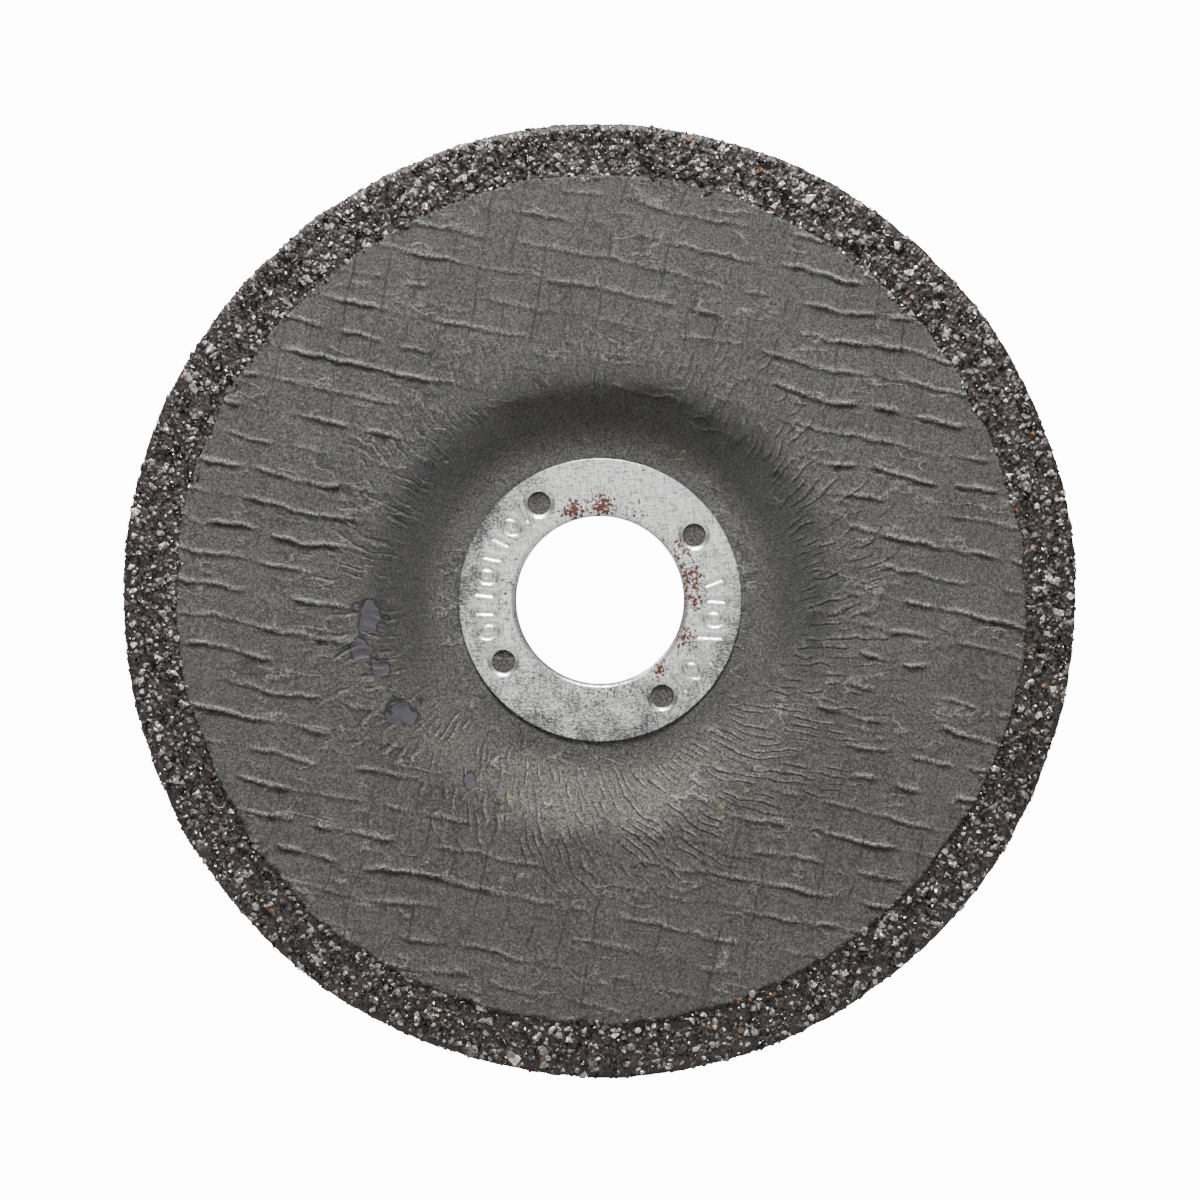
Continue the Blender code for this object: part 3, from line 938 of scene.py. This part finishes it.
def stampDepthAt(x, z):
    # plain strokes and rings from a hand stamp, standing in for a code: grooves with raised edges
    sizes = ringSettings
    depth = np.zeros_like(x)
    radius, angle = np.hypot(x, z), np.degrees(np.arctan2(z, x))
    rng = np.random.default_rng(17)
    for start, end in sizes["stamps"]:
        for number, centre in enumerate(np.arange(start, end, 9.2)):
            apart = (angle - centre + 180) % 360 - 180
            tilt = rng.uniform(-0.3, 0.3)
            along = radius - sizes["holeCircle"] - 0.2 * mm
            across = np.radians(apart) * radius
            if number % 3 == 1:
                away = np.abs(np.hypot(across / 0.75, along) - 1.2 * mm)
            else:
                half = rng.choice([1.0, 1.4]) * mm
                away = np.hypot(across + tilt * along, np.clip(np.abs(along) - half, 0, None))
            groove = np.exp(-((away / (0.26 * mm)) ** 2))
            raised = np.exp(-(((away - 0.55 * mm) / (0.22 * mm)) ** 2))
            depth = depth + groove - 0.6 * raised
    return depth


def holePlace(degrees):
    turn = math.radians(degrees)
    return ringSettings["holeCircle"] * math.cos(turn), ringSettings["holeCircle"] * math.sin(turn)


def makeRing():
    sizes = ringSettings
    drawProfile(ringOutline())
    ring = spinProfile(720)
    points = readPoints(ring)
    x, y, z = points.T
    radius = np.hypot(x, z)
    face = (y < -sizes["front"] + 0.02 * mm) & (radius > sizes["bore"] + sizes["lip"] + 0.2 * mm)
    face = face & (radius < sizes["outer"] - 0.2 * mm)
    dent = stampDepthAt(x, z) * sizes["stampDepth"]
    wave = 0.012 * mm * layered(x / (4 * mm), z / (4 * mm), 111, 3)
    points[:, 1] = np.where(face, y + dent + wave, y)
    writePoints(ring, points)
    for degrees in sizes["holeAngles"]:
        holeX, holeZ = holePlace(degrees)
        deselectAll()
        bpy.ops.mesh.primitive_cylinder_add(
            vertices=40, radius=sizes["holeRadius"], depth=4 * mm,
            rotation=(math.pi / 2, 0, 0), location=(holeX, -sizes["front"], holeZ),
        )
        punch = bpy.context.object
        cut = ring.modifiers.new("punch", "BOOLEAN")
        cut.operation = "DIFFERENCE"
        cut.solver = "EXACT"
        cut.object = punch
        bpy.context.view_layer.objects.active = ring
        bpy.ops.object.modifier_apply(modifier=cut.name)
        bpy.data.objects.remove(punch, do_unlink=True)
    deselectAll()
    bpy.context.view_layer.objects.active = ring
    ring.select_set(True)
    points = readPoints(ring)
    # the punch draws the sheet down round each hole, so its edge rolls inwards
    for degrees in sizes["holeAngles"]:
        holeX, holeZ = holePlace(degrees)
        away = np.hypot(points[:, 0] - holeX, points[:, 2] - holeZ) - sizes["holeRadius"]
        near = (away < 0.7 * mm) & (points[:, 1] < -sizes["front"] + 0.2 * mm)
        drop = sizes["holeRoll"] * (1 - ease(away, -0.02 * mm, 0.6 * mm))
        points[:, 1] = np.where(near, points[:, 1] + drop, points[:, 1])
    writePoints(ring, points)
    x, y, z = points.T
    radius, angle = np.hypot(x, z), np.arctan2(z, x)
    inside = 1 - ease(radius, 12.5 * mm, 15.5 * mm)
    rust = 0.225 + 0.06 * inside
    for spotX, spotZ, size, strength in sizes["rustSpots"]:
        away = np.hypot(x - spotX * mm, z - spotZ * mm) / (size * mm)
        rust = rust + strength * np.exp(-(away**2))
    storeValue(ring, "rust", rust)
    # scuffs heavier on the outer part at the left and right and towards the bottom: real scuffing, with
    # painted shade for the ring's dimmer lower and left side
    outerPart = ease(radius, 14.8 * mm, 18.0 * mm)
    low = ease(-np.sin(angle), 0.2, 0.95) * (1 - 0.7 * ease(np.cos(angle), 0.35, 0.75))
    left = ease(-np.cos(angle + math.radians(20)), 0.55, 1.0)
    right = ease(np.cos(angle + math.radians(15)), 0.7, 1.0)
    smear = 0.05 * layered(x / (2 * mm), z / (2 * mm), 131, 3)
    scuffAndPaintedShade = 0.095 + 0.17 * outerPart * (left + 0.7 * right) + low * (0.10 + 0.045 * outerPart)
    storeValue(ring, "scuffAndPaintedShade", np.clip(scuffAndPaintedShade + smear, 0, 0.4))
    bpy.ops.object.shade_smooth_by_angle(angle=math.radians(35))
    finishPiece(ring, "steel_ring", mats["steel"], ["hub_ring"])
    return ring


steelRing = makeRing()
print("steel ring", len(steelRing.data.polygons))


for netName in ("front_glass_net", "middle_glass_net", "back_glass_net"):
    for netSlot in bpy.data.objects[netName].material_slots:
        netSlot.material = mats["yarn"]
print("glass nets kept")

stageSettings = {
    "floorDrop": 0.8 * mm,
    "floorColour": "#A6A6A3",
    "glow": 13.0,  # keeps the floor as pale as the backdrop to the eye, and lights nothing
    "worldLight": 0.10,
    "worldSeen": 14.0,
    "cameraAway": 0.600,
    "frameWidth": 157.27 * mm,
}


def makeStage():
    sizes = stageSettings
    deselectAll()
    bpy.ops.mesh.primitive_plane_add(size=12, location=(0, 0, -disc["radius"] - sizes["floorDrop"]))
    floor = bpy.context.object
    floor.name = "studio_floor"
    material, tree, shader = startMaterial("whiteStudioFloor", Roughness=0.8)
    shader.inputs["Base Color"].default_value = linear(sizes["floorColour"])
    shader.inputs["Emission Color"].default_value = (1, 1, 1, 1)
    path = addNode(tree, "ShaderNodeLightPath")
    glow = calc(tree, "MULTIPLY", path.outputs["Is Camera Ray"], sizes["glow"])
    tree.links.new(glow, shader.inputs["Emission Strength"])
    floor.data.materials.append(material)
    world = bpy.data.worlds.new("studioWorld")
    bpy.context.scene.world = world
    world.use_nodes = True
    sky = world.node_tree.nodes["Background"]
    sky.inputs["Color"].default_value = (1, 1, 1, 1)
    path = addNode(world.node_tree, "ShaderNodeLightPath")
    settings = {"To Min": sizes["worldLight"], "To Max": sizes["worldSeen"]}
    links = {"Value": path.outputs["Is Camera Ray"]}
    strength = addNode(world.node_tree, "ShaderNodeMapRange", settings, links)
    world.node_tree.links.new(strength.outputs["Result"], sky.inputs["Strength"])


lights = {
    "key": {"place": (0.0, -0.185, 0.40), "size": (0.18, 0.11), "power": 6.0},
    "front": {"place": (0.10, -1.4, 0.5), "size": (1.2, 0.9), "power": 1.6},
    "card": {"place": (0.0, -1.0, 0.10), "size": (0.34, 0.30), "power": 0.78},
    "back": {"place": (-0.55, 0.42, 0.85), "size": (0.6, 0.6), "power": 9.0},
}


def makeLight(name, settings):
    data = bpy.data.lights.new(name, "AREA")
    data.shape = "RECTANGLE"
    data.size, data.size_y = settings["size"]
    data.energy = settings["power"]
    lamp = bpy.data.objects.new(name, data)
    bpy.context.scene.collection.objects.link(lamp)
    lamp.location = settings["place"]
    lamp.visible_camera = False
    lamp.rotation_euler = (-Vector(settings["place"])).to_track_quat("-Z", "Y").to_euler()


makeStage()
for lightName, lightSettings in lights.items():
    makeLight(lightName, lightSettings)

cameraData = bpy.data.cameras.new("camera")
camera = bpy.data.objects.new("camera", cameraData)
bpy.context.scene.collection.objects.link(camera)
camera.location = (0, sheetLow[1] - stageSettings["cameraAway"], 0)
camera.rotation_euler = (math.pi / 2, 0, 0)
cameraData.sensor_width = 36
cameraData.lens = 36 * stageSettings["cameraAway"] / stageSettings["frameWidth"]
cameraData.clip_start = 0.01
bpy.context.scene.camera = camera
print("stage and camera set")
